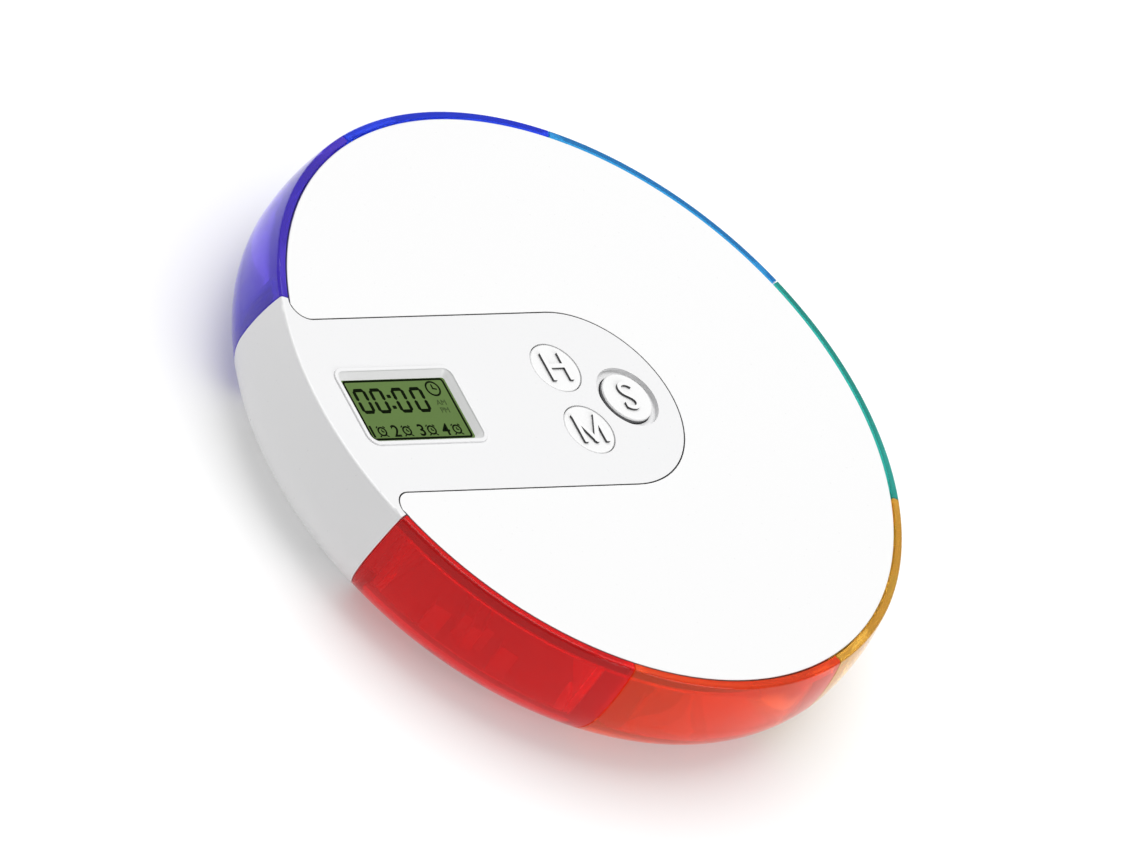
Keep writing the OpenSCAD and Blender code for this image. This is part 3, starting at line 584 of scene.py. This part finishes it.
def leave_line(line, depth):
    """Leaves a thick line along the edge of the only face of the mesh in edit mode."""
    bpy.ops.mesh.select_mode(type="FACE")
    bpy.ops.mesh.select_all(action="SELECT")
    bpy.ops.mesh.inset(thickness=line, depth=0)
    bpy.ops.mesh.delete(type="FACE")
    bpy.ops.mesh.select_all(action="SELECT")
    bpy.ops.mesh.extrude_region_move(TRANSFORM_OT_translate={"value": (0, 0, depth)})
    close_up()


def flat_ring(radius, line, sides, depth, place):
    """Thin flat ring, standing on a place."""
    deselect()
    bpy.ops.mesh.primitive_circle_add(vertices=sides, radius=radius, fill_type="NGON")
    piece = bpy.context.object
    bpy.ops.object.mode_set(mode="EDIT")
    leave_line(line, depth)
    piece.data.transform(Matrix.Translation(place))
    return piece


def rounded_border(low, high, radius, line, depth, z):
    """Thin line round a rectangle with rounded corners."""
    deselect()
    bpy.ops.mesh.primitive_plane_add(size=1, location=((low.x + high.x) / 2, (low.y + high.y) / 2, z))
    piece = bpy.context.object
    piece.scale = (high.x - low.x, high.y - low.y, 1)
    settle(piece)
    bpy.ops.object.mode_set(mode="EDIT")
    bpy.ops.mesh.select_mode(type="VERT")
    bpy.ops.mesh.select_all(action="SELECT")
    bpy.ops.mesh.bevel(offset=radius, segments=8, affect="VERTICES")
    leave_line(line, depth)
    return piece


def finish_piece(piece, name, body, slot, *materials):
    """Names a piece and gives it its materials and body; its slot is not used."""
    piece.name = name
    piece.data.name = name
    piece.data.materials.clear()
    for material in materials:
        piece.data.materials.append(material)
    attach(piece, body)


# ---------------------------------------------------------------- pieces


class ORGANISER_OT_shell(bpy.types.Operator):
    """Finishes the white cover, control panel, base, door and keys"""

    bl_idname = "organiser.shell"
    bl_label = "White shell"

    def execute(self, context):
        look = context.scene.organiser_shell
        white = tuple(look.white)
        gloss = self.gloss("white_gloss_plastic", white, look)
        for node in ("button_hour", "button_minute"):
            shade_node(node, gloss)
        # Painted shade goes on the seam walls, the cover's edge and the set key's side
        seam = {"Top": TOP - SEAM_LINE, "Depth": SEAM_DEPTH, "End": TONGUE_END}
        edge = {"Least": TONGUE_R - PANEL_EDGE, "Rim": PANEL_RIM - COVER_R}
        # Mask of the painted shade on the set key's side, below its top
        upper = {"Height": TOP - KEY_SHADE, "Softness": -KEY_SHADE_FADE}
        for node, name, tone, painted_shade, mask, values in (
            ("top_cover", "cover_plastic", white, look.seam, "seam_mask", {**seam, "Depth": COVER_DEPTH}),
            ("control_panel", "panel_plastic", tuple(look.panel), look.seam, "seam_mask", {**seam, **edge}),
            ("button_set", "set_key_plastic", white, look.key_side, "height_mask", upper),
        ):
            plastic = self.gloss(name, tone, look)
            colour_where(plastic, place_group(plastic, mask, values).outputs["Mask"], painted_shade)
            shade_node(node, plastic)
        satin = skin_material(
            "white_satin_plastic", darker(white, 0.02), darker(white, 0.06), look.roughness + 0.2,
            bump=0.05, bump_distance=0.1 * MM, skin=SATIN_SKIN, IOR=1.49,
        )
        for node in ("base_shell", "battery_door"):
            shade_node(node, satin)
        return {"FINISHED"}

    def gloss(self, name, tone, look):
        """White gloss plastic."""
        return skin_material(
            name, tone, darker(tone, 0.03), look.roughness, bump=0.03, bump_distance=0.15 * MM,
            skin=GLOSS_SKIN, IOR=1.5, Coat_Weight=0.15, Coat_Roughness=0.12,
        )


class ORGANISER_OT_trays(bpy.types.Operator):
    """Finishes the seven translucent trays"""

    bl_idname = "organiser.trays"
    bl_label = "Translucent trays"

    def execute(self, context):
        look = context.scene.organiser_trays
        for tray in TRAYS:
            tint = tuple(getattr(look, tray))
            # The emission in the tray's tint is painted glow
            plastic = skin_material(
                tray + "_clear_plastic", tint, darker(tint, 0.12), look.roughness,
                bump=0.05, bump_distance=0.2 * MM, skin=TRAY_SKIN,
                IOR=1.32, Specular_IOR_Level=0.2, Transmission_Weight=look.clearness,
                Emission_Color=rgba(tint), Emission_Strength=look.glow,
            )
            shade_node("tray_" + tray, plastic)
        return {"FINISHED"}


class ORGANISER_OT_works(bpy.types.Operator):
    """Finishes the electronics, cells, contacts, screws and feet"""

    bl_idname = "organiser.works"
    bl_label = "Inner works and feet"

    def execute(self, context):
        look = context.scene.organiser_shell
        grey, resist = tuple(look.rubber), tuple(look.board)
        green = tuple(context.scene.organiser_display.green)
        rubber = skin_material(
            "foot_rubber", grey, darker(grey, 0.3), roughness=0.75,
            bump=0.35, bump_distance=0.1 * MM, skin=RUBBER_SKIN,
        )
        board = skin_material(
            "solder_mask", resist, darker(resist, 0.4), roughness=0.35,
            bump=0.15, bump_distance=0.05 * MM, skin=BOARD_SKIN, Coat_Weight=0.4,
        )
        black = skin_material(
            "black_plastic", (0.015, 0.015, 0.016), (0.008, 0.008, 0.008), roughness=0.5,
            bump=0.2, bump_distance=0.05 * MM, skin=BLACK_SKIN,
        )
        holder = skin_material(
            "holder_plastic", (0.7, 0.7, 0.69), (0.6, 0.6, 0.59), roughness=0.5,
            bump=0.1, bump_distance=0.08 * MM, skin=HOLDER_SKIN,
        )
        steel = skin_material(
            "nickel_plate", (0.62, 0.61, 0.58), (0.5, 0.49, 0.46), roughness=0.28,
            bump=0.08, bump_distance=0.03 * MM, skin=STEEL_SKIN, Metallic=1.0,
        )
        glass = skin_material(
            "display_polariser", green, darker(green, 0.2), roughness=0.38,
            bump=0.04, bump_distance=0.05 * MM, skin=GLASS_SKIN, Specular_IOR_Level=0.12,
        )
        finishes = {
            rubber: ["foot_1", "foot_2", "foot_3", "foot_4", "contact_strip_upper", "contact_strip_lower"],
            board: ["circuit_board"],
            black: ["controller_chip", "buzzer"] + ["plunger_" + key for key in KEYS],
            holder: ["display_frame", "cell_holder", "housing_ring"],
            steel: ["contact_link", "contact_positive", "contact_negative", "case_screws", "cover_screws",
                    "board_screws"] + ["switch_" + key for key in KEYS],
            glass: ["display_cell"],
        }
        for material, nodes in finishes.items():
            for node in nodes:
                shade_node(node, material)
        for node, sign in (("battery_upper", -1), ("battery_lower", 1)):
            shade_node(node, self.cell_jacket(node, sign))
        return {"FINISHED"}

    def cell_jacket(self, node, sign):
        """Printed foil jacket: dark, with a band of brass colour at the positive end."""
        low, high = corners(node)
        jacket = skin_material(
            node + "_jacket", (0.02, 0.022, 0.03), (0.012, 0.013, 0.02), roughness=0.3,
            bump=0.05, bump_distance=0.03 * MM, skin=JACKET_SKIN, Metallic=0.6,
        )
        tree = jacket.node_tree
        end = high.x if sign > 0 else low.x
        away = math_node(tree, "ABSOLUTE", math_node(tree, "SUBTRACT", object_axes(tree)["X"], end))
        colour_where(jacket, math_node(tree, "LESS_THAN", away, CELL_BAND), BRASS)
        return jacket


class ORGANISER_OT_key_letters(bpy.types.Operator):
    """Builds the raised letters on the three keys"""

    bl_idname = "organiser.key_letters"
    bl_label = "Key letters"

    def execute(self, context):
        look = context.scene.organiser_letters
        white = tuple(context.scene.organiser_shell.white)
        face = skin_material("letter_face", white, darker(white, 0.03), roughness=0.3, bump=0.03, IOR=1.5)
        # Painted shade on the letters' side walls
        side = skin_material("letter_side", tuple(look.side), darker(tuple(look.side), 0.3), roughness=0.5)
        for key in KEYS:
            centre = key_centre(key)
            if key == "set":
                piece = written("S", look.height, look.rise, centre)
            else:
                strokes = HOUR_STROKES if key == "hour" else MINUTE_STROKES
                piece = united([self.stroke(look, centre, *line) for line in strokes])
            finish_piece(piece, "letter_" + key, key + "_key", "white_shell", face, side)
            # Upward faces keep the white face; all other faces take the painted shade
            for polygon in piece.data.polygons:
                polygon.material_index = 0 if polygon.normal.z > FLAT else 1
        return {"FINISHED"}

    def stroke(self, look, centre, x0, y0, x1, y1):
        """Straight stroke between two points of the letter's square, both from -1 to 1."""
        half = (look.height - look.stroke) / 2
        start, end = Vector((x0 * half, y0 * half, 0)), Vector((x1 * half, y1 * half, 0))
        run = end - start
        reach, narrow = LETTER_TIP
        raw = bar((run.length + look.stroke, look.stroke, look.rise), reach * look.stroke, narrow)
        piece = copy_at(raw, centre + (start + end) / 2, math.atan2(run.y, run.x))
        discard(raw)
        return piece


class ORGANISER_OT_clock_crystal(bpy.types.Operator):
    """Builds the slim metal can of the clock crystal with its two wires, below the reach of the minute key"""

    bl_idname = "organiser.clock_crystal"
    bl_label = "Clock crystal"

    def execute(self, context):
        low, high = corners("clock_crystal")
        axis = Vector(((low.x + high.x) / 2, (low.y + high.y) / 2, low.z + CAN_R))
        deselect()
        bpy.ops.mesh.primitive_cylinder_add(vertices=32, radius=CAN_R, depth=CAN_RUN, end_fill_type="NGON")
        can = context.object
        pick_faces(can, lambda normal: abs(normal.z) > FLAT)
        bpy.ops.mesh.region_to_loop()
        bpy.ops.mesh.bevel(offset=CAN_ROUND, segments=3, affect="EDGES")
        bpy.ops.object.mode_set(mode="OBJECT")
        pick_faces(can, lambda normal: normal.z > FLAT)
        bpy.ops.mesh.inset(thickness=CAN_RIM, depth=-CAN_SINK)
        bpy.ops.object.mode_set(mode="OBJECT")
        can.data.transform(Matrix.Translation(axis) @ Matrix.Rotation(math.radians(90), 4, "Y"))
        reach = (high.x - low.x - CAN_RUN) / 2
        lead = bar((reach, WIRE, WIRE), *WIRE_TIP)
        start = Vector((axis.x - CAN_RUN / 2 - reach / 2, axis.y, axis.z - WIRE / 2))
        leads = [copy_at(lead, start + Vector((0, side * WIRE_SIDE, 0))) for side in (-1, 1)]
        discard(lead)
        piece = join([can] + leads)
        metal = bpy.data.materials["nickel_plate"]
        finish_piece(piece, "crystal_can", CASE, "plated_steel", metal)
        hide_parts("clock_crystal")
        return {"FINISHED"}


class ORGANISER_OT_display_time(bpy.types.Operator):
    """Builds the time digits, the colon and the border of the display"""

    bl_idname = "organiser.display_time"
    bl_label = "Display time"

    def execute(self, context):
        look = context.scene.organiser_display
        ink = display_ink(look)
        low, high = GLASS_CENTRE.xy - SYMBOL_FIELD, GLASS_CENTRE.xy + SYMBOL_FIELD
        border = rounded_border(low, high, BORDER_CORNER, look.border, look.lift, GLASS_TOP)
        finish_piece(border, "display_border", CASE, "display", ink)
        run = (look.digit_h - look.stroke) / 2
        x_half = (look.digit_w - look.stroke) / 2
        across = bar((look.digit_w - look.stroke * ACROSS_GAP, look.stroke, look.lift), *SEGMENT_TIP)
        upright = bar((run - look.stroke * UPRIGHT_GAP, look.stroke, look.lift), *SEGMENT_TIP)
        parts = []
        for digit_x in DIGIT_X:
            centre = on_glass(digit_x, DIGIT_Y)
            for side in (-1, 1):
                parts.append(copy_at(across, centre + Vector((0, side * run, 0))))
                for rise in (-1, 1):
                    place = centre + Vector((side * x_half, rise * run / 2, 0))
                    parts.append(copy_at(upright, place, math.pi / 2))
        finish_piece(join(parts), "display_digits", CASE, "display", ink)
        dot = bar((*DOT, look.lift), *DOT_TIP)
        dots = [copy_at(dot, on_glass(COLON_X, y)) for y in COLON_Y]
        finish_piece(join(dots), "display_colon", CASE, "display", ink)
        for piece in (across, upright, dot):
            discard(piece)
        return {"FINISHED"}


class ORGANISER_OT_display_symbols(bpy.types.Operator):
    """Builds the clock symbol, the day halves and the row of numbered alarms"""

    bl_idname = "organiser.display_symbols"
    bl_label = "Display symbols"

    def execute(self, context):
        look = context.scene.organiser_display
        ink = display_ink(look)
        clock = on_glass(*CLOCK)
        ring = flat_ring(*CLOCK_RING, look.lift, clock)
        hand = bar((*HAND, look.lift), *HAND_TIP)
        hands = bars_round(hand, clock, CLOCK_BARS)
        finish_piece(join([ring] + hands), "display_clock", CASE, "display", ink)
        halves = [
            written(text, HALVES_H, look.lift, on_glass(HALVES_X, y))
            for text, y in zip(("AM", "PM"), HALVES_Y)
        ]
        tint = tuple(0.4 * channel for channel in look.green)
        faint = skin_material(
            "display_faint_ink", tint, darker(tint, 0.2), roughness=0.4, Specular_IOR_Level=0.1
        )
        finish_piece(join(halves), "display_halves", CASE, "display", faint)
        numbers, alarms = [], []
        tiny = bar((*TINY, look.lift), *TINY_TIP)
        for alarm, (number_x, alarm_x) in enumerate(zip(NUMBER_X, ALARM_X), start=1):
            place = on_glass(number_x, NUMBER_Y)
            numbers.append(written(str(alarm), look.number_h, look.lift, place, NUMBER_WEIGHT))
            centre = on_glass(alarm_x, ALARM_Y)
            alarms.append(flat_ring(*ALARM_RING, look.lift, centre))
            alarms.extend(bars_round(tiny, centre, ALARM_BARS))
        finish_piece(join(numbers), "display_numbers", CASE, "display", ink)
        finish_piece(join(alarms), "display_alarms", CASE, "display", ink)
        for piece in (hand, tiny):
            discard(piece)
        return {"FINISHED"}


def display_ink(look):
    """Dark ink of the lit symbols, made at its first use."""
    name = "display_ink"
    return bpy.data.materials.get(name) or skin_material(
        name, tuple(look.ink), tuple(3 * channel for channel in look.ink), roughness=0.4,
        bump=0.02, bump_distance=0.02 * MM, skin=INK_SKIN, Specular_IOR_Level=0.0,
    )


class ORGANISER_OT_stage(bpy.types.Operator):
    """Sets up the pale floor, the soft lights and the camera"""

    bl_idname = "organiser.stage"
    bl_label = "Studio stage"

    def execute(self, context):
        look = context.scene.organiser_stage
        scene = context.scene
        deselect()
        bpy.ops.mesh.primitive_plane_add(size=FLOOR_SIZE, location=(0, 0, 0))
        floor = context.object
        floor.name = "floor"
        paper = skin_material(
            "pale_paper", (0.72, 0.72, 0.72), (0.71, 0.71, 0.71), roughness=0.8, skin=PAPER_SKIN,
            Emission_Color=(1, 1, 1, 1), Emission_Strength=look.floor_glow,
        )
        self.open_from_below(paper.node_tree)
        floor.data.materials.append(paper)
        world = bpy.data.worlds.new("studio")
        scene.world = world
        world.use_nodes = True
        self.sky(world.node_tree, look)
        self.light("top_softbox", *TOP_LIGHT, look.top_light)
        self.light("front_softbox", *FRONT_LIGHT, look.front_light)
        self.camera(look)
        scene.view_settings.view_transform = "Standard"
        return {"FINISHED"}

    def open_from_below(self, tree):
        """Clears the floor's lower face, so that the underside can be looked at."""
        below = tree.nodes.new("ShaderNodeNewGeometry").outputs["Backfacing"]
        tree.links.new(math_node(tree, "SUBTRACT", 1.0, below), tree.nodes["Principled BSDF"].inputs["Alpha"])

    def sky(self, tree, look):
        """White studio surround that grows brighter from the horizon upwards."""
        split = tree.nodes.new("ShaderNodeSeparateXYZ")
        tree.links.new(tree.nodes.new("ShaderNodeTexCoord").outputs["Generated"], split.inputs[0])
        height = math_node(tree, "MAXIMUM", split.outputs["Z"], 0.0)
        rise = math_node(tree, "MULTIPLY", height, look.sky - look.horizon)
        background = tree.nodes["Background"]
        background.inputs["Color"].default_value = (1, 1, 1, 1)
        tree.links.new(math_node(tree, "ADD", rise, look.horizon), background.inputs["Strength"])

    def light(self, name, place, aim, size, power):
        """Round soft light at a place, turned to an aim."""
        data = bpy.data.lights.new(name, "AREA")
        data.shape = "DISK"
        data.size = size
        data.energy = power
        lamp = bpy.data.objects.new(name, data)
        bpy.context.scene.collection.objects.link(lamp)
        lamp.location = place
        lamp.rotation_euler = (Vector(aim) - Vector(place)).to_track_quat("-Z", "Y").to_euler()

    def camera(self, look):
        """Long lens at the photograph's angle, with the object leaning clockwise in the frame."""
        reach = math.cos(ELEVATION)
        back = Vector((math.sin(AZIMUTH) * reach, -math.cos(AZIMUTH) * reach, math.sin(ELEVATION)))
        level = Vector((math.cos(AZIMUTH), math.sin(AZIMUTH), 0))
        up = back.cross(level)
        right = level * math.cos(LEAN) + up * math.sin(LEAN)
        rise = up * math.cos(LEAN) - level * math.sin(LEAN)
        centre = Vector((0, 0, TOP)) - AIM_LEFT * COVER_R * right - AIM_DOWN * COVER_R * rise
        data = bpy.data.cameras.new("camera")
        data.lens = look.lens
        data.sensor_width = SENSOR_WIDTH
        data.clip_end = CLIP_END
        distance = look.frame_width * look.lens / data.sensor_width
        camera = bpy.data.objects.new("camera", data)
        bpy.context.scene.collection.objects.link(camera)
        turn = Matrix((right, rise, back)).transposed().to_4x4()
        camera.matrix_world = Matrix.Translation(centre + back * distance) @ turn
        bpy.context.scene.camera = camera


class ORGANISER_PT_panel(bpy.types.Panel):
    """Lists the pieces of the organiser and their settings"""

    bl_idname = "ORGANISER_PT_panel"
    bl_label = "Pill organiser"
    bl_space_type = "VIEW_3D"
    bl_region_type = "UI"
    bl_category = "Organiser"

    def draw(self, context):
        for operator in OPERATORS:
            self.layout.operator(operator.bl_idname)
        for name, group in SETTINGS.items():
            box = self.layout.box()
            settings = getattr(context.scene, name)
            for prop in group.__annotations__:
                box.prop(settings, prop)


SETTINGS = {
    "organiser_shell": ORGANISER_PG_shell,
    "organiser_trays": ORGANISER_PG_trays,
    "organiser_display": ORGANISER_PG_display,
    "organiser_letters": ORGANISER_PG_letters,
    "organiser_stage": ORGANISER_PG_stage,
}
OPERATORS = (
    ORGANISER_OT_shell,
    ORGANISER_OT_trays,
    ORGANISER_OT_works,
    ORGANISER_OT_clock_crystal,
    ORGANISER_OT_key_letters,
    ORGANISER_OT_display_time,
    ORGANISER_OT_display_symbols,
    ORGANISER_OT_stage,
)
CLASSES = tuple(SETTINGS.values()) + OPERATORS + (ORGANISER_PT_panel,)


def register():
    for item in CLASSES:
        bpy.utils.register_class(item)
    for name, group in SETTINGS.items():
        setattr(bpy.types.Scene, name, bpy.props.PointerProperty(type=group))


def unregister():
    for name in SETTINGS:
        delattr(bpy.types.Scene, name)
    for item in reversed(CLASSES):
        bpy.utils.unregister_class(item)


def main():
    register()
    bpy.ops.organiser.shell()
    bpy.ops.organiser.trays()
    bpy.ops.organiser.works()
    bpy.ops.organiser.clock_crystal()
    bpy.ops.organiser.key_letters()
    bpy.ops.organiser.display_time()
    bpy.ops.organiser.display_symbols()
    bpy.ops.organiser.stage()


if __name__ == "__main__":
    main()
